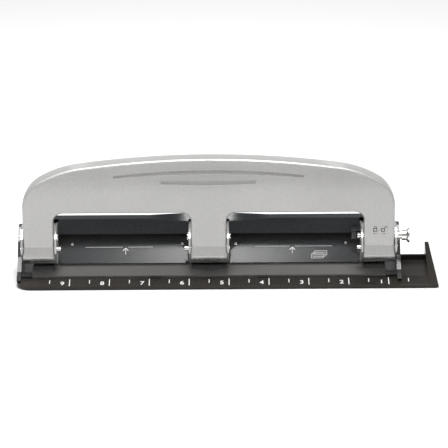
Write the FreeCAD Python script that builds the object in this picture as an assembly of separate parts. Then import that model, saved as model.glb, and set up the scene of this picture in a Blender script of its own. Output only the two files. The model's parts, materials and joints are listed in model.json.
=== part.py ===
import FreeCAD, Part
import math
import os
from FreeCAD import Vector

# Three hole punch, in millimetres.
# X runs along the ruler to the right, 0 at the centre hole.  Y runs from the front edge to the back,
# 0 at the middle of the tray's depth.  Z is up, 0 on the table.

# driving dimensions
HOLE_SPACING = 108.0
TRAY_DEPTH = 44.0
FRONT_Y = -TRAY_DEPTH / 2
BODY_LEFT = -122.7
STOP_X = 139.7            # inner face of the paper stop, the zero of the ruler
PAPER_ANGLE = 50.0        # slope of the paper plane
SLOPE_START = (21.5, 9.2)  # foot of the paper plane, measured from the front edge
HANDLE_TURN = 50.0        # squeeze angle of the handle
CRANK = 7.5               # hinge pin to drive pin
HINGE_S = 5.75            # hinge pin, along and above the paper plane
HINGE_T = 14.6
PUNCH_S = HINGE_S + CRANK  # punch axis along the slope
PUNCH_R = 3.5
PIN_R = 1.4
DRIVE_R = 1.5
RUN_GAP = 0.05            # running clearance of pins
WALL = 1.2                # bracket sheet
SKIN = 1.4                # handle sheet
LEG_HALF = {"left": 9.8, "centre": 11.3, "right": 9.8}
SIDES = {"left": -HOLE_SPACING - 0.3, "centre": 0.0, "right": HOLE_SPACING + 0.3}
THROAT = 11.25            # hole centre to the paper's edge
SHEET = 1.2               # paper rest above the base plate
SLOT_TOP = 3.2            # underside of the stripper above the base plate
STRIPPER = 1.5            # stripper plate
CLIP_T = 13.3             # clip on the punch, above the base plate at rest
CLIP_THICK = 0.6
TRAY_FLOOR = 2.4
MAT = 0.9
TRAY_HINGE = (39.9, 5.2)
HINGE_X = 92.0            # tray hinges, each side of the middle
HINGE_R = 1.25

HALF_TURN = math.radians(HANDLE_TURN / 2)
DRIVE_S = HINGE_S + CRANK * math.cos(HALF_TURN)
DRIVE_T = HINGE_T + CRANK * math.sin(HALF_TURN)

X_AXIS = Vector(1, 0, 0)
Z_AXIS = Vector(0, 0, 1)


def save(name, shape):
    shape.exportStep("parts/" + name + ".step")


def fused(shapes):
    result = shapes[0]
    for shape in shapes[1:]:
        result = result.fuse(shape)
    return result.removeSplitter()


def side_face(points):
    """Face in the side view, from (distance from the front edge, height) points."""
    corners = [Vector(0, FRONT_Y + y, z) for y, z in points]
    return Part.Face(Part.makePolygon(corners + corners[:1]))


def side_prism(points, x_low, x_high):
    solid = side_face(points).extrude(Vector(x_high - x_low, 0, 0))
    solid.translate(Vector(x_low, 0, 0))
    return solid


def box(x_low, x_high, y_low, y_high, z_low, z_high):
    corner = Vector(x_low, y_low, z_low)
    return Part.makeBox(x_high - x_low, y_high - y_low, z_high - z_low, corner)


def side_box(x_low, x_high, y_low, y_high, z_low, z_high):
    """Box whose depth is measured from the front edge."""
    return box(x_low, x_high, FRONT_Y + y_low, FRONT_Y + y_high, z_low, z_high)


def x_rod(radius, x_low, x_high, y, z):
    return Part.makeCylinder(radius, x_high - x_low, Vector(x_low, y, z), X_AXIS)


def t_rod(radius, x, s, t_low, t_high):
    return Part.makeCylinder(radius, t_high - t_low, Vector(x, s, t_low), Z_AXIS)


def on_slope(shape):
    """Moves a shape drawn on the paper plane (Y up the slope, Z square to it) to its place."""
    placed = shape.copy()
    placed.rotate(Vector(0, 0, 0), X_AXIS, PAPER_ANGLE)
    placed.translate(Vector(0, FRONT_Y + SLOPE_START[0], SLOPE_START[1]))
    return placed


def slope_point(s, t):
    """Side-view point, from the front edge and the table, of a place on the paper plane."""
    angle = math.radians(PAPER_ANGLE)
    y = SLOPE_START[0] + s * math.cos(angle) - t * math.sin(angle)
    z = SLOPE_START[1] + s * math.sin(angle) + t * math.cos(angle)
    return (y, z)


def slope_prism(points, x_low, x_high):
    corners = [Vector(x_low, s, t) for s, t in points]
    face = Part.Face(Part.makePolygon(corners + corners[:1]))
    return face.extrude(Vector(x_high - x_low, 0, 0))


def arc_slot(half_width, x_low, x_high):
    """Curved slot that the drive pin follows about the hinge pin, on the paper plane."""
    reach = HALF_TURN + math.radians(2.0)
    ring = Part.makeCylinder(CRANK + half_width, x_high - x_low, Vector(x_low, HINGE_S, HINGE_T), X_AXIS)
    ring = ring.cut(Part.makeCylinder(CRANK - half_width, x_high - x_low,
                                      Vector(x_low, HINGE_S, HINGE_T), X_AXIS))
    far = CRANK + half_width + 4.0
    wedge = slope_prism([(HINGE_S, HINGE_T),
                         (HINGE_S + far * math.cos(reach), HINGE_T - far * math.sin(reach)),
                         (HINGE_S + far * math.cos(reach), HINGE_T + far * math.sin(reach))],
                        x_low, x_high)
    slot = ring.common(wedge)
    for turn in (-reach, reach):
        s = HINGE_S + CRANK * math.cos(turn)
        t = HINGE_T + CRANK * math.sin(turn)
        slot = slot.fuse(x_rod(half_width, x_low, x_high, s, t))
    return slot


# ---- tray -----------------------------------------------------------------------------------

STRIP_BACK = 10.9
STRIP_TOP = 4.4
FRONT_TOP = 2.0
SHELF_X = 123.4
SHELF_TOP = 3.4
REAR_TOP = 4.3
CORNER_R = 9.0
STOP_TOP = 15.3
STOP_THICK = 2.4
STOP_FOOT = 6.1
NOTCH_X = 34.0
NOTCH_HALF = 3.8


def footprint(x_low, x_high, y_low, y_high, z_low, z_high, radius):
    """Plate with the two left corners rounded."""
    plate = box(x_low, x_high, y_low, y_high, z_low, z_high)
    edges = [e for e in plate.Edges if abs(e.tangentAt(e.FirstParameter).z) > 0.99
             and e.BoundBox.XMax < x_low + 0.01]
    return plate.makeFillet(radius, edges)


def chip_tray():
    back = FRONT_Y + TRAY_DEPTH
    floor = footprint(BODY_LEFT, STOP_X, FRONT_Y, back, MAT, TRAY_FLOOR, CORNER_R)
    strip = side_prism([(0, MAT), (0, FRONT_TOP), (STRIP_BACK, STRIP_TOP), (STRIP_BACK, MAT)],
                       BODY_LEFT, STOP_X)
    outline = footprint(BODY_LEFT, STOP_X, FRONT_Y, back, MAT, STOP_TOP, CORNER_R)
    strip = strip.common(outline)
    inner = footprint(BODY_LEFT + 1.6, STOP_X + 9.0, FRONT_Y + 1.6, back - 1.6, MAT, STOP_TOP, CORNER_R - 1.6)
    rim = outline.common(box(BODY_LEFT, SHELF_X, FRONT_Y + STRIP_BACK, back, MAT, REAR_TOP)).cut(inner)
    shelf = side_prism([(STRIP_BACK, MAT), (STRIP_BACK, STRIP_TOP), (STRIP_BACK + 2.0, SHELF_TOP + 0.4),
                        (TRAY_DEPTH, SHELF_TOP), (TRAY_DEPTH, MAT)], SHELF_X, STOP_X)
    back_wall = side_box(SHELF_X, STOP_X, TRAY_DEPTH - 1.8, TRAY_DEPTH, MAT, 6.8)
    back_face = Part.makePolygon([Vector(STOP_X, back, MAT), Vector(STOP_X + STOP_THICK, back, MAT),
                                  Vector(STOP_X + STOP_THICK, back, STOP_TOP), Vector(STOP_X, back, STOP_TOP),
                                  Vector(STOP_X, back, MAT)])
    front_face = Part.makePolygon([Vector(STOP_X, FRONT_Y, MAT), Vector(STOP_X + STOP_FOOT, FRONT_Y, MAT),
                                   Vector(STOP_X + STOP_FOOT, FRONT_Y, FRONT_TOP),
                                   Vector(STOP_X, FRONT_Y, FRONT_TOP), Vector(STOP_X, FRONT_Y, MAT)])
    stop = Part.makeLoft([back_face, front_face], True, True)
    ears = []
    for sign in (-1, 1):
        ears.append(tray_ear(sign * HINGE_X))
    tray = fused([floor, strip, rim, shelf, back_wall, stop] + ears)
    for sign in (-1, 1):
        tray = tray.cut(side_box(sign * NOTCH_X - NOTCH_HALF, sign * NOTCH_X + NOTCH_HALF,
                                 STRIP_BACK - 1.2, STRIP_BACK + 0.1, TRAY_FLOOR, STRIP_TOP + 1))
    return tray


def hinge_ear(x_low, x_high, hole_r, z_end):
    y, z = TRAY_HINGE
    ear = x_rod(2.1, x_low, x_high, FRONT_Y + y, z)
    low, high = sorted((z, z_end))
    ear = ear.fuse(side_box(x_low, x_high, y - 2.1, y + 2.1, low, high))
    return ear.cut(x_rod(hole_r, x_low - 1, x_high + 1, FRONT_Y + y, z))


def tray_ear(x):
    """Pair of ears on the tray floor that hold the hinge pin tight."""
    left = hinge_ear(x - 6.0, x - 3.0, HINGE_R, MAT + 0.5)
    return left.fuse(hinge_ear(x + 3.0, x + 6.0, HINGE_R, MAT + 0.5))


def tray_hinge_pins():
    y, z = TRAY_HINGE
    return Part.makeCompound([x_rod(HINGE_R, sign * HINGE_X - 6.0, sign * HINGE_X + 6.0, FRONT_Y + y, z)
                              for sign in (-1, 1)])


def non_slip_mat():
    edge = 2.0
    return footprint(BODY_LEFT + edge, STOP_X - edge, FRONT_Y + edge, -FRONT_Y - edge, 0, MAT, CORNER_R - edge)


# ---- frame ----------------------------------------------------------------------------------

LIP_END = 113.0
PLATE_T = 1.5
PLATE_TOP_S = 27.6


def leg_zone(side, extra, s_low, s_high, t_low, t_high):
    """Block on the slope around one punch unit, for cutting other sheets away from it."""
    half = LEG_HALF[side] + 0.35 + WALL + extra
    x = SIDES[side]
    return on_slope(slope_prism([(s_low, t_low), (s_high, t_low), (s_high, t_high), (s_low, t_high)],
                                x - half, x + half))


def base_plate():
    foot = slope_point(0, -PLATE_T)
    lip = side_prism([(11.5, 5.5), SLOPE_START, foot, (11.5, 4.5)], -LIP_END, LIP_END)
    panel = on_slope(slope_prism([(0, -PLATE_T), (PLATE_TOP_S, -PLATE_T), (PLATE_TOP_S, 0), (0, 0)],
                                 -LIP_END, LIP_END))
    plate = fused([lip, panel])
    for side, x in SIDES.items():
        half = LEG_HALF[side] - 0.4
        plate = plate.cut(side_box(x - half, x + half, 17.2, 30.0, 0, 12.4))
        plate = plate.cut(on_slope(t_rod(4.5, x, PUNCH_S, -PLATE_T - 1, 1)))
    for sign in (-1, 1):
        ear = hinge_ear(sign * HINGE_X - 2.8, sign * HINGE_X + 2.8, HINGE_R + RUN_GAP, 14.0)
        brace = side_prism([(37.8, 14.0), (42.0, 14.0), (41.0, 29.6), (38.8, 29.4)],
                           sign * HINGE_X - 2.8, sign * HINGE_X + 2.8)
        plate = plate.fuse(ear).fuse(brace)
    return plate.removeSplitter()


def paper_rest(sign):
    """Raised panel between two punch units, its upper corners cut off."""
    inner, outer = 13.6, 96.0
    corners = [(inner, 0.6), (outer, 0.6), (outer, 6.5), (89.0, 10.6), (82.5, 15.9), (21.5, 15.9),
               (16.0, 10.6), (inner, 8.0)]
    points = [Vector(sign * x, s, 0) for x, s in corners]
    face = Part.Face(Part.makePolygon(points + points[:1]))
    return on_slope(face.extrude(Vector(0, 0, SHEET)))


def paper_stop():
    """Bars behind the bays that the paper's edge runs up to."""
    s_low = PUNCH_S + THROAT
    bars = []
    for sign in (-1, 1):
        low, high = sorted((sign * 14.0, sign * 95.5))
        bars.append(on_slope(slope_prism([(s_low, 0), (s_low + 1.5, 0), (s_low + 1.5, 3.6), (s_low, 3.6)],
                                         low, high)))
    return Part.makeCompound(bars)


def upper_cover():
    """Bent sheet above the paper slot, with a wedge-shaped roof behind the middle."""
    outer = [(30.0, 27.0), (33.0, 36.3), (38.5, 37.0), (38.5, 35.6), (34.0, 34.9), (31.6, 27.6)]
    cover = side_prism(outer, -LIP_END, LIP_END)
    roof = []
    for x, front_z, back_z in ((-40.0, 36.3, 36.3), (0.0, 33.6, 38.4), (40.0, 36.3, 36.3)):
        corners = [Vector(x, FRONT_Y + 32.6, front_z - 1.3), Vector(x, FRONT_Y + 33.0, front_z),
                   Vector(x, FRONT_Y + 39.0, back_z + 0.4), Vector(x, FRONT_Y + 39.0, back_z - 1.0)]
        roof.append(Part.makePolygon(corners + corners[:1]))
    wedge = Part.makeLoft(roof, True, True)
    cut = []
    for x, front_z, back_z in ((-40.0, 36.3, 36.7), (0.0, 33.6, 38.8), (40.0, 36.3, 36.7)):
        corners = [Vector(x, FRONT_Y + 30.0, front_z - 0.1), Vector(x, FRONT_Y + 33.0, front_z),
                   Vector(x, FRONT_Y + 39.1, back_z), Vector(x, FRONT_Y + 39.1, 45),
                   Vector(x, FRONT_Y + 30.0, 45)]
        cut.append(Part.makePolygon(corners + corners[:1]))
    cover = cover.cut(Part.makeLoft(cut, True, True)).fuse(wedge)
    for side in SIDES:
        cover = cover.cut(leg_zone(side, 0.3, -5, 28.5, 0, 25))
    return cover.removeSplitter()


def rear_cover():
    """Back wall that closes the frame behind the slope."""
    profile = [(38.7, 35.2), (42.5, 31.5), (44.0, 14.6), (42.6, 14.6), (41.2, 30.8), (38.7, 33.4)]
    return side_prism(profile, -LIP_END, LIP_END)


def end_plate(sign):
    """Black end cheek; its front corner is rounded."""
    low, high = sorted((sign * (LEG_HALF["right"] + SIDES["right"] + 0.35 + WALL + 0.25), sign * 122.6))
    profile = [(5.0, 4.9), (13.0, 8.0), (21.0, 15.0), (27.0, 23.5), (36.0, 30.0), (42.5, 30.0), (43.8, 14.6),
               (39.0, 4.9)]
    cheek = side_prism(profile, low, high)
    foot = side_box(*sorted((sign * (LIP_END + 0.1), sign * 122.6)), 11.2, 38.0, 4.9, 7.0)
    return cheek.fuse(foot).removeSplitter()


def snap_tabs():
    return Part.makeCompound([side_box(sign * NOTCH_X - NOTCH_HALF + 0.4, sign * NOTCH_X + NOTCH_HALF - 0.4,
                                       10.2, 11.5, 3.4, 5.4) for sign in (-1, 1)])


def panel_rivets():
    return Part.makeCompound([on_slope(t_rod(0.9, x, 13.8, 0, 0.6)) for x in (-87.8, -17.2, 17.2, 87.8)])


# ---- punch units ----------------------------------------------------------------------------

def punch_bracket(side):
    """Sheet bracket: a web on the slope and two walls joined to it behind the paper's edge."""
    x = SIDES[side]
    inner = LEG_HALF[side] + 0.35
    rear = PUNCH_S + THROAT
    web = slope_prism([(1.0, 0), (PLATE_TOP_S, 0), (PLATE_TOP_S, SHEET), (1.0, SHEET)],
                      x - inner - WALL, x + inner + WALL)
    web = web.cut(t_rod(4.5, x, PUNCH_S, -1, SHEET + 1))
    wall = [(0.5, SLOT_TOP), (rear, SLOT_TOP), (rear, SHEET), (PLATE_TOP_S - 0.4, SHEET),
            (PLATE_TOP_S - 0.4, 5.5), (25.0, 8.0), (21.0, 17.0), (17.0, 20.5), (10.0, 21.5), (1.5, 17.0)]
    walls = []
    for low in (x - inner - WALL, x + inner):
        walls.append(slope_prism(wall, low, low + WALL))
    bracket = fused([web] + walls)
    bracket = bracket.cut(arc_slot(DRIVE_R + 0.8, x - inner - WALL - 1, x + inner + WALL + 1))
    bracket = bracket.cut(x_rod(PIN_R, x - inner - WALL - 1, x + inner + WALL + 1, HINGE_S, HINGE_T))
    return on_slope(bracket)


def punch_guide(side):
    """Stripper plate with two low flanges; it guides the punch."""
    x = SIDES[side]
    wide = LEG_HALF[side] + 0.35
    plate = slope_prism([(1.5, SLOT_TOP), (27.0, SLOT_TOP), (27.0, SLOT_TOP + STRIPPER),
                         (1.5, SLOT_TOP + STRIPPER)],
                        x - wide, x + wide)
    flange = [(1.5, SLOT_TOP), (24.0, SLOT_TOP), (24.0, 8.4), (3.5, 8.4), (1.5, 6.5)]
    guide = fused([plate, slope_prism(flange, x - 7.8, x - 6.6), slope_prism(flange, x + 6.6, x + 7.8)])
    return on_slope(guide.cut(t_rod(PUNCH_R + RUN_GAP, x, PUNCH_S, SLOT_TOP - 1, SLOT_TOP + 3)))


def die(side):
    x = SIDES[side]
    ring = t_rod(4.5, x, PUNCH_S, -3.0, SHEET).cut(t_rod(PUNCH_R + 0.1, x, PUNCH_S, -4, SHEET + 1))
    return on_slope(ring)


def punch(side):
    """Punch pin with a slotted eye for the drive pin at its head."""
    x = SIDES[side]
    body = t_rod(PUNCH_R, x, PUNCH_S, SLOT_TOP + 0.2, 14.6)
    eye = x_rod(2.9, x - 4.4, x + 4.4, DRIVE_S + 0.35, DRIVE_T)
    neck = slope_prism([(PUNCH_S - 2.6, 13.9), (PUNCH_S + 2.6, 13.9), (PUNCH_S + 2.2, DRIVE_T),
                        (PUNCH_S - 2.9, DRIVE_T)], x - 3.4, x + 3.4)
    pin = fused([body, eye, neck])
    slot_low = DRIVE_S - 0.15
    slot_high = PUNCH_S + 0.15
    radius = DRIVE_R + 0.15
    for s in (slot_low, slot_high):
        pin = pin.cut(x_rod(radius, x - 6, x + 6, s, DRIVE_T))
    pin = pin.cut(slope_prism([(slot_low, DRIVE_T - radius), (slot_high, DRIVE_T - radius),
                               (slot_high, DRIVE_T + radius), (slot_low, DRIVE_T + radius)], x - 6, x + 6))
    pin = pin.cut(clip_groove(x))
    return on_slope(pin)


def clip_groove(x):
    """Groove round the punch that holds its clip."""
    ring = t_rod(PUNCH_R + 1, x, PUNCH_S, CLIP_T, CLIP_T + CLIP_THICK)
    return ring.cut(t_rod(PUNCH_R - 0.6, x, PUNCH_S, CLIP_T - 1, CLIP_T + 1))


def punch_clip(side):
    x = SIDES[side]
    low, high = CLIP_T - 1, CLIP_T + 1
    ring = t_rod(5.3, x, PUNCH_S, CLIP_T, CLIP_T + CLIP_THICK).cut(t_rod(PUNCH_R - 0.6, x, PUNCH_S, low, high))
    gap = slope_prism([(PUNCH_S + 1.0, low), (PUNCH_S + 7, low), (PUNCH_S + 7, high), (PUNCH_S + 1.0, high)],
                      x - 1.6, x + 1.6)
    return on_slope(ring.cut(gap))


def return_spring(side):
    """Coil spring between the stripper plate and the clip on the punch."""
    wire = 0.3
    low = SLOT_TOP + STRIPPER + wire + 0.02
    high = CLIP_T - wire - 0.02
    turns = 3
    radius = 4.4
    helix = Part.makeHelix((high - low) / turns, high - low, radius)
    corners = [Vector(radius + wire * math.cos(math.pi * k / 4), 0, wire * math.sin(math.pi * k / 4))
               for k in range(8)]
    start = Part.makePolygon(corners + corners[:1])
    coil = Part.Wire(helix.Edges).makePipeShell([start], True, True)
    coil.translate(Vector(SIDES[side], PUNCH_S, low))
    return on_slope(coil)


def pin_on_slope(radius, x_low, x_high, s, t):
    return on_slope(x_rod(radius, x_low, x_high, s, t))


def hinge_pin(side):
    x = SIDES[side]
    reach = LEG_HALF[side] + 0.35 + WALL
    stub = 2.6
    inner = stub if side == "left" else 0.4
    outer = 0.4 if side == "left" else stub
    pin = x_rod(PIN_R, x - reach - outer, x + reach + inner, HINGE_S, HINGE_T)
    return on_slope(pin)


def drive_pin(side):
    x = SIDES[side]
    reach = LEG_HALF[side] + 0.35 + WALL
    return pin_on_slope(DRIVE_R, x - reach - 0.9, x + reach + 0.9, DRIVE_S, DRIVE_T)


def drive_pin_clips():
    """Retaining rings on both ends of the two plain drive pins."""
    rings = []
    for side in ("left", "centre"):
        reach = LEG_HALF[side] + 0.35 + WALL + 0.3
        for sign in (-1, 1):
            low, high = sorted((sign * reach, sign * (reach + 0.6)))
            ring = x_rod(2.3, SIDES[side] + low, SIDES[side] + high, DRIVE_S, DRIVE_T)
            ring = ring.cut(x_rod(DRIVE_R, SIDES[side] + low - 1, SIDES[side] + high + 1, DRIVE_S, DRIVE_T))
            rings.append(on_slope(ring))
    return Part.makeCompound(rings)


# ---- lock -----------------------------------------------------------------------------------

KNOB_X = 122.8
LOCK_TIP_X = 94.6
STEP_X = 116.2
STEM_R = 2.2


def lock_pin():
    """Drive pin of the right leg; it slides along its own length and carries the knob."""
    thin = x_rod(DRIVE_R, LOCK_TIP_X, STEP_X, DRIVE_S, DRIVE_T)
    stem = x_rod(STEM_R, STEP_X, KNOB_X, DRIVE_S, DRIVE_T)
    return on_slope(fused([thin, stem]))


def lock_knob():
    profile = [(KNOB_X, 0), (KNOB_X, 3.15), (125.6, 3.15), (126.7, 4.7), (127.6, 4.7), (127.6, 0)]
    points = [Vector(x, DRIVE_S + r, DRIVE_T) for x, r in profile]
    face = Part.Face(Part.makePolygon(points + points[:1]))
    return on_slope(face.revolve(Vector(0, DRIVE_S, DRIVE_T), X_AXIS, 360))


def lock_clip():
    ring = x_rod(2.0, LOCK_TIP_X + 0.3, LOCK_TIP_X + 0.9, DRIVE_S, DRIVE_T)
    return on_slope(ring.cut(x_rod(DRIVE_R, LOCK_TIP_X, LOCK_TIP_X + 2, DRIVE_S, DRIVE_T)))


def lock_catch():
    """Ledge on the right bracket that holds the pushed-in pin down when the handle is closed."""
    wall_x = SIDES["right"] - LEG_HALF["right"] - 0.35 - WALL
    arm = slope_prism([(16.2, 13.9), (19.5, 13.9), (19.5, 16.2), (16.2, 16.2)], 91.0, wall_x)
    ledge = slope_prism([(11.0, 13.9), (16.2, 13.9), (16.2, 15.5), (11.0, 15.5)], 91.0, 94.0)
    return on_slope(fused([arm, ledge]))


# ---- handle ---------------------------------------------------------------------------------

FOLD_Z = 25.3
BEND_Z = 60.0
FRONT_ROUND = 1.8
GROOVE_DEPTH = 0.8

def handle_outline(inset):
    """Front view of the handle, drawn in X and Z, moved inwards by the sheet."""
    outer, mid, gap_out = 118.1 - inset, 11.3 - inset, 98.5 + inset
    bottom = 17.5 if inset == 0 else 10.0
    window = 47.6 + inset
    half = [Part.Arc(Vector(0, 0, 82.2 - inset), Vector(42, 0, 80.8 - inset),
                     Vector(83.5, 0, 76.7 - inset)).toShape(),
            Part.Arc(Vector(83.5, 0, 76.7 - inset), Vector(98 - inset * 0.2, 0, 73.0 - inset),
                     Vector(109 - inset * 0.5, 0, 67.8 - inset)).toShape(),
            Part.Arc(Vector(109 - inset * 0.5, 0, 67.8 - inset),
                     Vector(115.6 - inset * 0.9, 0, 61.0 - inset * 0.5), Vector(outer, 0, 50)).toShape()]
    legs = [(outer, 50), (outer, bottom), (gap_out, bottom), (gap_out, window - 6)]
    half += [Part.makeLine(Vector(a[0], 0, a[1]), Vector(b[0], 0, b[1])) for a, b in zip(legs, legs[1:])]
    bow = 6 * (1 - math.sqrt(0.5))
    half.append(Part.Arc(Vector(gap_out, 0, window - 6), Vector(gap_out - bow, 0, window - bow),
                         Vector(gap_out - 6, 0, window)).toShape())
    half.append(Part.makeLine(Vector(gap_out - 6, 0, window), Vector(mid + 6, 0, window)))
    half.append(Part.Arc(Vector(mid + 6, 0, window), Vector(mid + bow, 0, window - bow),
                         Vector(mid, 0, window - 6)).toShape())
    half.append(Part.makeLine(Vector(mid, 0, window - 6), Vector(mid, 0, bottom)))
    half.append(Part.makeLine(Vector(mid, 0, bottom), Vector(0, 0, bottom)))
    half.append(Part.makeLine(Vector(0, 0, bottom), Vector(0, 0, 82.2 - inset)))
    face = Part.Face(Part.Wire(half))
    mirrored = face.mirror(Vector(0, 0, 0), X_AXIS)
    return face, mirrored


def handle_block(inset):
    halves = []
    for face in handle_outline(inset):
        block = face.extrude(Vector(0, 40, 0))
        block.translate(Vector(0, FRONT_Y, 0))
        halves.append(block)
    return fused(halves)


def handle_side(inset):
    """Side view of the handle: foot, fold, flat face, then a bend back to the top."""
    back = [(26.0, 84.0), (24.0, 70.0), (15.5, 53.0), (15.5, 40.0), (19.5, 34.0), (19.5, 20.0), (17.0, 10.0)]
    if inset:
        back = [(60.0, 90.0), (60.0, 5.0)]
    shift = inset
    front = [Vector(0, FRONT_Y + 5.2 + shift, 12.0), Vector(0, FRONT_Y + 10.8 + shift, FOLD_Z)]
    bend = Part.Arc(Vector(0, FRONT_Y + 10.8 + shift, BEND_Z), Vector(0, FRONT_Y + 12.1 + shift, 71.2),
                    Vector(0, FRONT_Y + 16.6 + shift, 84.0)).toShape()
    edges = [Part.makeLine(front[0], front[1]),
             Part.makeLine(front[1], Vector(0, FRONT_Y + 10.8 + shift, BEND_Z)), bend]
    corners = [Vector(0, FRONT_Y + 16.6 + shift, 84.0)] + [Vector(0, FRONT_Y + y, z) for y, z in back]
    corners.append(front[0])
    edges += [Part.makeLine(a, b) for a, b in zip(corners, corners[1:])]
    solid = Part.Face(Part.Wire(edges)).extrude(Vector(300, 0, 0))
    solid.translate(Vector(-150, 0, 0))
    return solid


def front_edges(block):
    """Edges round the front of the handle, without the two cross lines of its fold and bend."""
    found = []
    for edge in block.Edges:
        span = edge.LastParameter - edge.FirstParameter
        points = [edge.valueAt(edge.FirstParameter + span * part) for part in (0.0, 0.3, 0.5, 0.7, 1.0)]
        cross_line = any(all(abs(p.z - z) < 0.01 for p in points) for z in (FOLD_Z, BEND_Z))
        outside = all(Part.Vertex(p + Vector(0, -0.01, 0)).distToShape(block)[0] > 0.004 for p in points)
        if outside and not cross_line and max(p.y for p in points) < FRONT_Y + 16.7:
            found.append(edge)
    return found


def groove(half_length, top_middle, top_end, low_middle, low_end, depth):
    """Shallow curved groove pressed into the front of the handle."""
    ends = [Vector(-half_length, 0, top_end), Vector(half_length, 0, top_end),
            Vector(half_length, 0, low_end), Vector(-half_length, 0, low_end)]
    edges = [Part.Arc(ends[0], Vector(0, 0, top_middle), ends[1]).toShape(),
             Part.makeLine(ends[1], ends[2]),
             Part.Arc(ends[2], Vector(0, 0, low_middle), ends[3]).toShape(),
             Part.makeLine(ends[3], ends[0])]
    band = Part.Face(Part.Wire(edges)).extrude(Vector(0, 40, 0))
    band.translate(Vector(0, FRONT_Y, 0))
    return band.common(handle_side(0)).cut(handle_side(depth))


def handle():
    """Pressed sheet handle with three legs, open at the back."""
    block = handle_block(0).common(handle_side(0)).removeSplitter()
    block = block.makeFillet(FRONT_ROUND, front_edges(block))
    shell = block.cut(handle_block(SKIN).common(handle_side(SKIN)))
    shell = shell.cut(groove(60.0, 75.5, 72.3, 73.0, 70.9, GROOVE_DEPTH))
    shell = shell.cut(groove(30.0, 68.9, 69.2, 66.5, 67.2, GROOVE_DEPTH))
    for side, x in SIDES.items():
        reach = LEG_HALF[side] + 2
        gap = RUN_GAP if side == "right" else 0
        shell = shell.cut(pin_on_slope(PIN_R + RUN_GAP, x - reach, x + reach, HINGE_S, HINGE_T))
        shell = shell.cut(pin_on_slope(DRIVE_R + gap, x - reach, x + reach, DRIVE_S, DRIVE_T))
    shell = shell.cut(pin_on_slope(STEM_R + RUN_GAP, 115.0, 120.0, DRIVE_S, DRIVE_T))
    return shell.removeSplitter()


def build_all():
    os.makedirs("parts", exist_ok=True)
    single = {"chip_tray": chip_tray, "non_slip_mat": non_slip_mat, "tray_hinge_pins": tray_hinge_pins,
              "base_plate": base_plate, "paper_stop": paper_stop, "upper_cover": upper_cover,
              "rear_cover": rear_cover, "snap_tabs": snap_tabs, "panel_rivets": panel_rivets,
              "drive_pin_clips": drive_pin_clips, "lock_pin": lock_pin, "lock_knob": lock_knob,
              "lock_clip": lock_clip, "lock_catch": lock_catch, "handle": handle}
    for name, make in single.items():
        save(name, make())
    for name, sign in (("left", -1), ("right", 1)):
        save("paper_rest_" + name, paper_rest(sign))
        save("end_plate_" + name, end_plate(sign))
    unit = {"punch_bracket": punch_bracket, "punch_guide": punch_guide, "die": die, "punch": punch,
            "punch_clip": punch_clip, "return_spring": return_spring, "hinge_pin": hinge_pin}
    for side in SIDES:
        for name, make in unit.items():
            save(name + "_" + side, make(side))
    for side in ("left", "centre"):
        save("drive_pin_" + side, drive_pin(side))


build_all()
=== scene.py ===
import json
import math
import bmesh
import bpy
from mathutils import Matrix, Vector


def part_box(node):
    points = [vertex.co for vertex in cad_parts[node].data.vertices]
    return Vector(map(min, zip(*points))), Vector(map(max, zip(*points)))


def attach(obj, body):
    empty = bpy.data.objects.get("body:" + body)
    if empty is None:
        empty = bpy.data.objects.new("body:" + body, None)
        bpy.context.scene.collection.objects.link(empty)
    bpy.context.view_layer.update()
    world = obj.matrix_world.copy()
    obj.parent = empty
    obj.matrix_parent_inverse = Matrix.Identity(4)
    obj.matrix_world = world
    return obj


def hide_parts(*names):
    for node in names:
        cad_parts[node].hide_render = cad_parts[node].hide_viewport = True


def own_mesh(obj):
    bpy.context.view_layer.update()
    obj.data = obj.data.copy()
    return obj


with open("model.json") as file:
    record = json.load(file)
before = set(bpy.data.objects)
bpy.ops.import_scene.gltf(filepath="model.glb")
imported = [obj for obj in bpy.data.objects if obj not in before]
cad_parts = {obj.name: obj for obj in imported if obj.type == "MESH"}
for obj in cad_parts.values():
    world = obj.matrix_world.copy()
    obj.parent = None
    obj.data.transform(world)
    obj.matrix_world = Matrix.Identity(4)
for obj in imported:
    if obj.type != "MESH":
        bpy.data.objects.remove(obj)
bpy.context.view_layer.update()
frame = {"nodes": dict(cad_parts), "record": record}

mm = 0.001
nodes = frame["nodes"]


# materials

grain = {"noiseLow": 0.3, "noiseHigh": 0.7, "broadDetail": 4, "fineDetail": 3, "broadBump": 0.0002,
         "fineBump": 0.00006, "broadShare": 0.5, "fleckDetail": 2, "fleckLow": 0.35, "fleckHigh": 0.65,
         "edgeLow": 0.52, "edgeHigh": 0.62, "edgeScale": 900, "edgeDetail": 3}


def newMaterial(name):
    mat = bpy.data.materials.new(name)
    mat.use_nodes = True
    tree = mat.node_tree
    return mat, tree, tree.nodes["Principled BSDF"]


def placeNode(tree):
    return tree.nodes.new("ShaderNodeTexCoord").outputs["Object"]


def noiseNode(tree, scale, detail, stretch=(1, 1, 1)):
    mapping = tree.nodes.new("ShaderNodeMapping")
    mapping.inputs["Scale"].default_value = stretch
    tree.links.new(placeNode(tree), mapping.inputs["Vector"])
    noise = tree.nodes.new("ShaderNodeTexNoise")
    noise.inputs["Scale"].default_value = scale
    noise.inputs["Detail"].default_value = detail
    tree.links.new(mapping.outputs["Vector"], noise.inputs["Vector"])
    return noise.outputs["Fac"]


def rampNode(tree, value, stops):
    ramp = tree.nodes.new("ShaderNodeValToRGB")
    points = ramp.color_ramp.elements
    while len(points) < len(stops):
        points.new(0.5)
    for point, (where, colour) in zip(points, stops):
        point.position = where
        point.color = tuple(colour) + (1.0,)
    tree.links.new(value, ramp.inputs["Fac"])
    return ramp.outputs["Color"]


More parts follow.
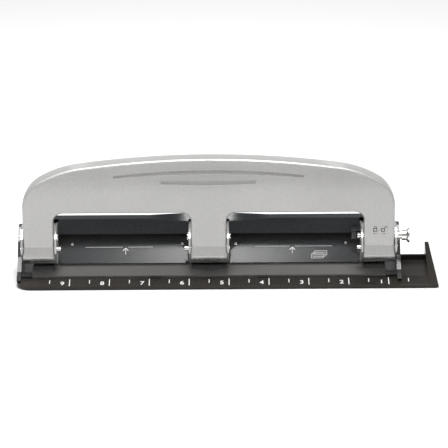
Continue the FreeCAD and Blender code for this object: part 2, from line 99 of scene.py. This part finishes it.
def rangeNode(tree, value, low, high):
    remap = tree.nodes.new("ShaderNodeMapRange")
    remap.inputs["From Min"].default_value = grain["noiseLow"]
    remap.inputs["From Max"].default_value = grain["noiseHigh"]
    remap.inputs["To Min"].default_value = low
    remap.inputs["To Max"].default_value = high
    tree.links.new(value, remap.inputs["Value"])
    return remap.outputs["Result"]


def bumpNode(tree, height, strength, distance, under=None):
    bump = tree.nodes.new("ShaderNodeBump")
    bump.inputs["Strength"].default_value = strength
    bump.inputs["Distance"].default_value = distance
    tree.links.new(height, bump.inputs["Height"])
    if under is not None:
        tree.links.new(under, bump.inputs["Normal"])
    return bump.outputs["Normal"]


def mixNode(tree, share, below, above, blend="MIX"):
    mix = tree.nodes.new("ShaderNodeMix")
    mix.data_type = "RGBA"
    mix.blend_type = blend
    for socket, given in (("Factor", share), ("A", below), ("B", above)):
        if isinstance(given, bpy.types.NodeSocket):
            tree.links.new(given, mix.inputs[socket])
        else:
            mix.inputs[socket].default_value = given
    return mix.outputs["Result"]


# painted highlight along the edges, partly wear: lighter colour there, broken up by noise
def wearNode(tree, colour, highlightWearColour, amount):
    geometry = tree.nodes.new("ShaderNodeNewGeometry")
    edge = tree.nodes.new("ShaderNodeMapRange")
    edge.inputs["From Min"].default_value = grain["edgeLow"]
    edge.inputs["From Max"].default_value = grain["edgeHigh"]
    edge.inputs["To Max"].default_value = amount
    tree.links.new(geometry.outputs["Pointiness"], edge.inputs["Value"])
    broken = tree.nodes.new("ShaderNodeMath")
    broken.operation = "MULTIPLY"
    tree.links.new(edge.outputs["Result"], broken.inputs[0])
    tree.links.new(noiseNode(tree, grain["edgeScale"], grain["edgeDetail"]), broken.inputs[1])
    return mixNode(tree, broken.outputs["Value"], colour, highlightWearColour + (1.0,))


# one finish from its colours, gloss and grain
def finish(name, look):
    mat, tree, shader = newMaterial(name)
    broad = noiseNode(tree, look["broadScale"], grain["broadDetail"])
    colour = rampNode(tree, broad, [(grain["noiseLow"], look["dark"]), (grain["noiseHigh"], look["light"])])
    if "fleck" in look:
        flecks = noiseNode(tree, look["fineScale"], grain["fleckDetail"])
        stops = [(grain["fleckLow"], (1 - look["fleck"],) * 3), (grain["fleckHigh"], (1.0, 1.0, 1.0))]
        colour = mixNode(tree, 1.0, colour, rampNode(tree, flecks, stops), "MULTIPLY")
    if "shadeAbove" in look:                 # painted shade: above its lip the plate is painted near-black
        parts = tree.nodes.new("ShaderNodeSeparateXYZ")
        tree.links.new(placeNode(tree), parts.inputs["Vector"])
        above = tree.nodes.new("ShaderNodeMath")
        above.operation = "GREATER_THAN"
        above.inputs[1].default_value = look["shadeAbove"]
        tree.links.new(parts.outputs["Z"], above.inputs[0])
        colour = mixNode(tree, above.outputs["Value"], colour, look["shadeColour"] + (1.0,))
    # painted edge highlight, partly wear, mixed into the colour
    colour = wearNode(tree, colour, look["highlightWearColour"], look["highlightWear"])
    tree.links.new(colour, shader.inputs["Base Color"])
    fine = noiseNode(tree, look["fineScale"], grain["fineDetail"], look.get("stretch", (1, 1, 1)))
    tree.links.new(rangeNode(tree, fine, look["smooth"], look["rough"]), shader.inputs["Roughness"])
    first = bumpNode(tree, fine, look["bump"], grain["fineBump"])
    second = bumpNode(tree, broad, look["bump"] * grain["broadShare"], grain["broadBump"], first)
    tree.links.new(second, shader.inputs["Normal"])
    shader.inputs["Metallic"].default_value = look["metal"]
    shader.inputs["Specular IOR Level"].default_value = look.get("shine", 0.5)
    shader.inputs["Coat Weight"].default_value = look.get("coat", 0.0)
    shader.inputs["Coat Roughness"].default_value = look.get("coatRough", 0.1)
    return mat


# each look's edge colour and amount also paint a highlight along its edges
looks = {
    "silver_paint": {"dark": (0.44, 0.436, 0.428), "light": (0.49, 0.486, 0.478), "highlightWearColour": (0.9, 0.9, 0.89),
                     "highlightWear": 0.6, "metal": 0.45, "smooth": 0.32, "rough": 0.46, "bump": 0.25, "fleck": 0.15,
                     "broadScale": 18, "fineScale": 1500, "coat": 0.2, "coatRough": 0.2},
    "black_paint": {"dark": (0.007, 0.008, 0.009), "light": (0.012, 0.013, 0.015),
                    "highlightWearColour": (0.10, 0.11, 0.115), "highlightWear": 0.3, "metal": 0.0, "smooth": 0.15, "rough": 0.24,
                    "bump": 0.06, "fleck": 0.1, "broadScale": 25, "fineScale": 1800, "shine": 0.4},
    "black_plastic": {"dark": (0.010, 0.010, 0.010), "light": (0.020, 0.020, 0.020),
                      "highlightWearColour": (0.07, 0.07, 0.07), "highlightWear": 0.25, "metal": 0.0, "smooth": 0.2, "rough": 0.38,
                      "bump": 0.2, "broadScale": 30, "fineScale": 1500, "coat": 0.3, "coatRough": 0.15},
    "smoke_plastic": {"dark": (0.016, 0.014, 0.012), "light": (0.026, 0.023, 0.020),
                      "highlightWearColour": (0.12, 0.11, 0.10), "highlightWear": 0.4, "metal": 0.0, "smooth": 0.2, "rough": 0.34,
                      "bump": 0.06, "shine": 0.12, "broadScale": 20, "fineScale": 1400},
    # painted shade: the plate is near-black above its lip
    "lip_paint": {"dark": (0.060, 0.056, 0.052), "light": (0.085, 0.080, 0.074), "highlightWearColour": (0.3, 0.29, 0.28),
                  "highlightWear": 0.15, "metal": 0.0, "smooth": 0.3, "rough": 0.45, "bump": 0.08, "shadeAbove": 0.0094,
                  "shadeColour": (0.004, 0.004, 0.004), "broadScale": 20, "fineScale": 1600, "coat": 0.1,
                  "coatRough": 0.2},
    "zinc_steel": {"dark": (0.50, 0.50, 0.49), "light": (0.66, 0.66, 0.65), "highlightWearColour": (0.8, 0.8, 0.79),
                   "highlightWear": 0.4, "metal": 0.85, "smooth": 0.25, "rough": 0.45, "bump": 0.2,
                   "broadScale": 60, "fineScale": 900, "stretch": (1, 1, 0.15)},
    "bright_steel": {"dark": (0.55, 0.55, 0.54), "light": (0.72, 0.72, 0.71), "highlightWearColour": (0.85, 0.85, 0.84),
                     "highlightWear": 0.3, "metal": 1.0, "smooth": 0.16, "rough": 0.3, "bump": 0.15,
                     "broadScale": 90, "fineScale": 1600, "stretch": (0.1, 1, 1)},
    "chrome": {"dark": (0.72, 0.72, 0.71), "light": (0.82, 0.82, 0.81), "highlightWearColour": (0.9, 0.9, 0.9),
               "highlightWear": 0.2, "metal": 1.0, "smooth": 0.05, "rough": 0.12, "bump": 0.05,
               "broadScale": 80, "fineScale": 900},
    "mat_rubber": {"dark": (0.010, 0.010, 0.010), "light": (0.02, 0.02, 0.02), "highlightWearColour": (0.05, 0.05, 0.05),
                   "highlightWear": 0.3, "metal": 0.0, "smooth": 0.6, "rough": 0.85, "bump": 0.5,
                   "broadScale": 60, "fineScale": 1500},
    "white_print": {"dark": (0.74, 0.74, 0.73), "light": (0.84, 0.84, 0.83), "highlightWearColour": (0.6, 0.6, 0.6),
                    "highlightWear": 0.1, "metal": 0.0, "smooth": 0.4, "rough": 0.6, "bump": 0.1,
                    "broadScale": 300, "fineScale": 2500},
    "grey_print": {"dark": (0.045, 0.045, 0.045), "light": (0.075, 0.075, 0.075), "highlightWearColour": (0.2, 0.2, 0.2),
                   "highlightWear": 0.1, "metal": 0.0, "smooth": 0.4, "rough": 0.6, "bump": 0.1,
                   "broadScale": 300, "fineScale": 2500},
}
finishes = {name: finish(name, look) for name, look in looks.items()}
print("materials made")


def dress(node, finishName):
    mesh = nodes[node].data
    mesh.materials.clear()
    mesh.materials.append(finishes[finishName])


for entry in frame["record"]["subparts"]:
    dress(entry["node"], entry["material_slot"])
dress("base_plate", "lip_paint")            # pale lip, slope above it painted dark as shade
dress("lock_catch", "black_paint")
print("frame dressed")


def addObject(name, data):
    thing = bpy.data.objects.new(name, data)
    bpy.context.scene.collection.objects.link(thing)
    return thing


def evaluatedMesh(thing):
    bpy.context.view_layer.update()
    return bpy.data.meshes.new_from_object(thing.evaluated_get(bpy.context.evaluated_depsgraph_get()))


# flat printed marks

ink = {"depth": 0.03, "gap": 0.01}


# thin raised ink made from flat outlines in millimetres
def printMarks(name, body, shapes, place, material):
    mesh = bpy.data.meshes.new(name)
    bm = bmesh.new()
    for outline in shapes:
        low = [bm.verts.new((x * mm, y * mm, 0.0)) for x, y in outline]
        high = [bm.verts.new((x * mm, y * mm, ink["depth"] * mm)) for x, y in outline]
        bm.faces.new(high)
        bm.faces.new(list(reversed(low)))
        for i in range(len(outline)):
            j = (i + 1) % len(outline)
            bm.faces.new((low[i], low[j], high[j], high[i]))
    bmesh.ops.recalc_face_normals(bm, faces=bm.faces)
    bm.to_mesh(mesh)
    bm.free()
    mesh.transform(place)
    mesh.materials.append(finishes[material])
    piece = addObject(name, mesh)
    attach(piece, body)


def bar(x, y, width, height):
    return [(x, y), (x + width, y), (x + width, y + height), (x, y + height)]


ruler = {"zeroX": 139.7, "inch": 25.4, "ticks": 9, "stripStart": 2.0, "stripRise": 2.4, "stripDepth": 10.9,
         "tickLow": 1.8, "tickHigh": 9.4, "halfLow": 4.6, "halfHigh": 8.6, "tickWidth": 0.55,
         "figureSize": 5.46, "figureBold": 0.08, "figureGap": 3.2, "figureLow": 3.0}
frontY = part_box("chip_tray")[0].y


def stripPlace():
    slant = math.atan2(ruler["stripRise"], ruler["stripDepth"])
    lift = Vector((0, frontY, (ruler["stripStart"] + ink["gap"]) * mm))
    return Matrix.Translation(lift) @ Matrix.Rotation(slant, 4, "X")


# row of equal bars: count, step and bar size are the tree's inputs
def tickTree(material):
    tree = bpy.data.node_groups.new("rulerTicks", "GeometryNodeTree")
    for name, kind in (("Count", "NodeSocketInt"), ("Step", "NodeSocketFloat"), ("Width", "NodeSocketFloat"),
                       ("Length", "NodeSocketFloat")):
        tree.interface.new_socket(name, in_out="INPUT", socket_type=kind)
    tree.interface.new_socket("Geometry", in_out="OUTPUT", socket_type="NodeSocketGeometry")
    given = tree.nodes.new("NodeGroupInput")
    result = tree.nodes.new("NodeGroupOutput")
    line = tree.nodes.new("GeometryNodeMeshLine")
    step = tree.nodes.new("ShaderNodeCombineXYZ")
    size = tree.nodes.new("ShaderNodeCombineXYZ")
    cube = tree.nodes.new("GeometryNodeMeshCube")
    spread = tree.nodes.new("GeometryNodeInstanceOnPoints")
    real = tree.nodes.new("GeometryNodeRealizeInstances")
    paint = tree.nodes.new("GeometryNodeSetMaterial")
    size.inputs["Z"].default_value = ink["depth"] * mm
    paint.inputs["Material"].default_value = material
    join = tree.links.new
    join(given.outputs["Count"], line.inputs["Count"])
    join(given.outputs["Step"], step.inputs["X"])
    join(step.outputs["Vector"], line.inputs["Offset"])
    join(given.outputs["Width"], size.inputs["X"])
    join(given.outputs["Length"], size.inputs["Y"])
    join(size.outputs["Vector"], cube.inputs["Size"])
    join(line.outputs["Mesh"], spread.inputs["Points"])
    join(cube.outputs["Mesh"], spread.inputs["Instance"])
    join(spread.outputs["Instances"], real.inputs["Geometry"])
    join(real.outputs["Geometry"], paint.inputs["Geometry"])
    join(paint.outputs["Geometry"], result.inputs["Geometry"])
    return tree


def tickRow(name, tree, firstX, count, low, high):
    holder = addObject(name, bpy.data.meshes.new(name + "Seed"))
    modifier = holder.modifiers.new("ticks", "NODES")
    modifier.node_group = tree
    ids = {item.name: item.identifier for item in tree.interface.items_tree if item.in_out == "INPUT"}
    modifier[ids["Count"]] = count
    modifier[ids["Step"]] = -ruler["inch"] * mm
    modifier[ids["Width"]] = ruler["tickWidth"] * mm
    modifier[ids["Length"]] = (high - low) * mm
    mesh = evaluatedMesh(holder)
    holder.modifiers.clear()
    middle = Vector((firstX, (low + high) / 2, ink["depth"] / 2)) * mm
    mesh.transform(stripPlace() @ Matrix.Translation(middle))
    holder.data = mesh
    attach(holder, "tray")


def rulerFigures():
    for number in range(1, ruler["ticks"] + 1):
        curve = bpy.data.curves.new("figure", "FONT")
        curve.body = str(number)
        curve.size = ruler["figureSize"] * mm
        curve.offset = ruler["figureBold"] * mm
        curve.extrude = ink["depth"] * mm
        curve.align_x = "RIGHT"
        text = addObject("figure", curve)
        mesh = evaluatedMesh(text)
        bpy.data.objects.remove(text)
        x = ruler["zeroX"] - ruler["inch"] * number - ruler["figureGap"]
        mesh.transform(stripPlace() @ Matrix.Translation((x * mm, ruler["figureLow"] * mm, 0)))
        mesh.materials.clear()
        mesh.materials.append(finishes["white_print"])
        piece = addObject("ruler_figure_" + str(number), mesh)
        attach(piece, "tray")


tickGroup = tickTree(finishes["white_print"])
tickRow("ruler_inch_ticks", tickGroup, ruler["zeroX"] - ruler["inch"], ruler["ticks"],
        ruler["tickLow"], ruler["tickHigh"])
tickRow("ruler_half_ticks", tickGroup, ruler["zeroX"] - ruler["inch"] / 2, ruler["ticks"] + 1,
        ruler["halfLow"], ruler["halfHigh"])
rulerFigures()
print("ruler printed")

lockSign = {"face": -11.2, "left": 104.3, "right": 109.2, "low": 34.6, "width": 2.6, "height": 2.3,
            "wall": 0.5, "closedBow": 1.3, "openBow": 3.2, "bowRadius": 0.55, "bowWire": 0.4,
            "bowRise": 0.5, "bowSteps": 10, "legDrop": 0.1, "legLong": 0.7, "arrowDrop": 1.34,
            "arrowShift": 0.4, "headLong": 0.9, "headHalf": 0.44, "shaftWide": 0.22, "shaftLong": 2.2,
            "shaftStart": 0.4}


# half ring of quads, the bow of a padlock
def bow(x, y):
    inner = lockSign["bowRadius"]
    outer = inner + lockSign["bowWire"]
    steps = lockSign["bowSteps"]
    quads = []
    for i in range(steps):
        a, b = (math.radians(180.0 * k / steps) for k in (i, i + 1))
        quads.append([(x + r * math.cos(t), y + r * math.sin(t))
                      for r, t in ((inner, a), (outer, a), (outer, b), (inner, b))])
    return quads


# body outline, bow and the bow's two legs
def padlock(x, y, bowX):
    w, h, wall = lockSign["width"], lockSign["height"], lockSign["wall"]
    radius, wire = lockSign["bowRadius"], lockSign["bowWire"]
    shapes = [bar(x, y, w, wall), bar(x, y + h - wall, w, wall),
              bar(x, y, wall, h), bar(x + w - wall, y, wall, h)]
    shapes += bow(bowX, y + h + lockSign["bowRise"])
    for legX in (bowX - radius - wire, bowX + radius):
        shapes.append(bar(legX, y + h - lockSign["legDrop"], wire, lockSign["legLong"]))
    return shapes


slope = {"degrees": 50, "footDepth": 21.5, "footHeight": 9.2}


# place on the paper slope in millimetres: s up the slope, t square to it
def slopeMatrix(x, s, t):
    turn = Matrix.Rotation(math.radians(slope["degrees"]), 4, "X")
    foot = Vector((x, frontY + slope["footDepth"] * mm, slope["footHeight"] * mm))
    return Matrix.Translation(foot) @ turn @ Matrix.Translation((0, s * mm, t * mm))


# closed lock, open lock and an arrow under each
def lockMarks():
    lift = Matrix.Translation((0, (lockSign["face"] - ink["gap"]) * mm, 0))
    place = lift @ Matrix.Rotation(math.radians(90), 4, "X")
    left, right, low = lockSign["left"], lockSign["right"], lockSign["low"]
    shapes = padlock(left, low, left + lockSign["closedBow"])
    shapes += padlock(right, low, right + lockSign["openBow"])
    lineY = low - lockSign["arrowDrop"]
    rightTail = right + lockSign["arrowShift"]
    for tip, tail in ((left, left + lockSign["width"]), (rightTail + lockSign["width"], rightTail)):
        way = 1 if tail > tip else -1
        shapes.append(bar(min(tip, tail) + lockSign["shaftStart"], lineY - lockSign["shaftWide"] / 2,
                          lockSign["shaftLong"], lockSign["shaftWide"]))
        backX = tip + way * lockSign["headLong"]
        head = [(tip, lineY), (backX, lineY + lockSign["headHalf"]), (backX, lineY - lockSign["headHalf"])]
        shapes.append(head[::way])
    printMarks("lock_symbols", "handle", shapes, place, "grey_print")


panelSign = {"face": 1.2, "arrows": (-53.5, 53.5), "tip": 11.2, "headReach": 1.9, "headThick": 0.4,
             "shaftLow": 6.6, "shaftLong": 3.6, "lineLow": 11.4, "lineWide": 0.22,
             "lines": ((-79.4, 24.0), (-52.0, 16.0), (29.3, 22.5), (55.0, 24.0)),
             "sheets": 3, "sheetStart": (65.5, 3.2), "sheetStep": (1.1, 1.0), "sheetWide": 8.0,
             "sheetHigh": 3.0, "sheetTop": 2.8, "sheetWall": 0.3}


# arrow and guide lines over each panel, stack of sheets on the right one
def panelMarks():
    place = slopeMatrix(0, 0, panelSign["face"] + ink["gap"])
    tip, reach, thick = panelSign["tip"], panelSign["headReach"], panelSign["headThick"]
    shapes = []
    for x in panelSign["arrows"]:
        shapes += [bar(x - thick / 2, panelSign["shaftLow"], thick, panelSign["shaftLong"]),
                   [(x, tip), (x - reach, tip - reach), (x - reach + thick, tip - reach - thick),
                    (x, tip - 2 * thick)],
                   [(x, tip), (x, tip - 2 * thick), (x + reach - thick, tip - reach - thick),
                    (x + reach, tip - reach)]]
    shapes += [bar(x, panelSign["lineLow"], long, panelSign["lineWide"]) for x, long in panelSign["lines"]]
    wide, high, wall = panelSign["sheetWide"], panelSign["sheetHigh"], panelSign["sheetWall"]
    for i in range(panelSign["sheets"]):
        x, y = (start + i * step for start, step in zip(panelSign["sheetStart"], panelSign["sheetStep"]))
        shapes += [bar(x, y, wide, wall), bar(x, y, wall, high), bar(x + wide - wall, y, wall, high),
                   bar(x, y + panelSign["sheetTop"], wide, wall)]
    printMarks("panel_symbols", "frame", shapes, place, "white_print")


lockMarks()
panelMarks()
print("symbols printed")

spring = {"turns": 3, "radius": 4.4, "wire": 0.3, "foot": 4.7, "top": 13.3, "pressedTop": 6.96,
          "upSlope": 13.25, "perTurn": 40, "round": 10}


def coilSpring(side):
    low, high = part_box("punch_" + side)
    x = (low.x + high.x) / 2
    wire = spring["wire"]
    bottom, top = spring["foot"] + wire, spring["top"] - wire
    steps = spring["turns"] * spring["perTurn"]
    bm = bmesh.new()
    rings = []
    for i in range(steps + 1):
        angle = 2 * math.pi * i / spring["perTurn"]
        rise = bottom + (top - bottom) * i / steps
        ring = []
        for k in range(spring["round"]):
            around = 2 * math.pi * k / spring["round"]
            reach = spring["radius"] + wire * math.cos(around)
            spot = Vector((reach * math.cos(angle), reach * math.sin(angle), rise + wire * math.sin(around)))
            ring.append(bm.verts.new(spot * mm))
        rings.append(ring)
    for a, b in zip(rings, rings[1:]):
        for k in range(len(a)):
            n = (k + 1) % len(a)
            bm.faces.new((a[k], a[n], b[n], b[k]))
    bm.faces.new(rings[0])
    bm.faces.new(list(reversed(rings[-1])))
    bmesh.ops.recalc_face_normals(bm, faces=bm.faces)
    for face in bm.faces:
        face.smooth = len(face.verts) == 4
    mesh = bpy.data.meshes.new("coil_" + side)
    bm.to_mesh(mesh)
    bm.free()
    mesh.transform(slopeMatrix(x, spring["upSlope"], 0))
    mesh.materials.append(finishes["bright_steel"])
    piece = addObject("coil_" + side, mesh)
    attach(piece, "frame")
    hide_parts("return_spring_" + side)
    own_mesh(piece)


for side in ("left", "centre", "right"):
    coilSpring(side)
print("springs wound")


# floor, light and camera

ground = {"half": 6.0, "cells": 4, "colour": (0.82, 0.82, 0.82, 1.0), "rough": 0.9}


def makeFloor():
    mesh = bpy.data.meshes.new("floor")
    bm = bmesh.new()
    bmesh.ops.create_grid(bm, x_segments=ground["cells"], y_segments=ground["cells"], size=ground["half"])
    bm.to_mesh(mesh)
    bm.free()
    mat, _, shader = newMaterial("floorPaper")
    shader.inputs["Base Color"].default_value = ground["colour"]
    shader.inputs["Roughness"].default_value = ground["rough"]
    mesh.materials.append(mat)
    floor = addObject("floor", mesh)


lamps = {
    "key": {"where": (-0.6, -0.6, 1.1), "size": 0.7, "power": 3.0},
    "fill": {"where": (0.9, -0.7, 0.9), "size": 0.5, "power": 0.8},
    "top": {"where": (0.0, -0.05, 1.2), "size": 0.6, "power": 17.0},
    "panelGlow": {"where": (0.0, -0.5, 0.9), "size": 0.12, "power": 1.0},
}
lampAim = (0, 0, 0.03)
air = {"colour": (1.0, 1.0, 1.0, 1.0), "strength": 0.42}


def softLight(name, where, size, power):
    data = bpy.data.lights.new(name, "AREA")
    data.size = size
    data.energy = power
    lamp = addObject(name, data)
    lamp.location = where
    lamp.rotation_euler = (Vector(lampAim) - Vector(where)).to_track_quat("-Z", "Y").to_euler()


def makeWorld():
    world = bpy.data.worlds.new("studio")
    bpy.context.scene.world = world
    world.use_nodes = True
    back = world.node_tree.nodes["Background"]
    back.inputs["Color"].default_value = air["colour"]
    back.inputs["Strength"].default_value = air["strength"]


view = {"aim": (0.0097, -0.007, 0.0389), "rise": 20.0, "distance": 1.7, "lens": 215.0, "roll": 0.37,
        "near": 0.05}


def makeCamera():
    data = bpy.data.cameras.new("camera")
    data.lens = view["lens"]
    data.clip_start = view["near"]
    camera = addObject("camera", data)
    rise = math.radians(view["rise"])
    aim = Vector(view["aim"])
    camera.location = aim + Vector((0, -math.cos(rise), math.sin(rise))) * view["distance"]
    turn = (aim - camera.location).to_track_quat("-Z", "Y").to_matrix().to_4x4()
    turn = turn @ Matrix.Rotation(math.radians(-view["roll"]), 4, "Z")
    camera.rotation_euler = turn.to_euler()
    bpy.context.scene.camera = camera
    bpy.context.scene.view_settings.view_transform = "Standard"


makeFloor()
for name, lamp in lamps.items():
    softLight(name, **lamp)
makeWorld()
makeCamera()
print("studio ready")
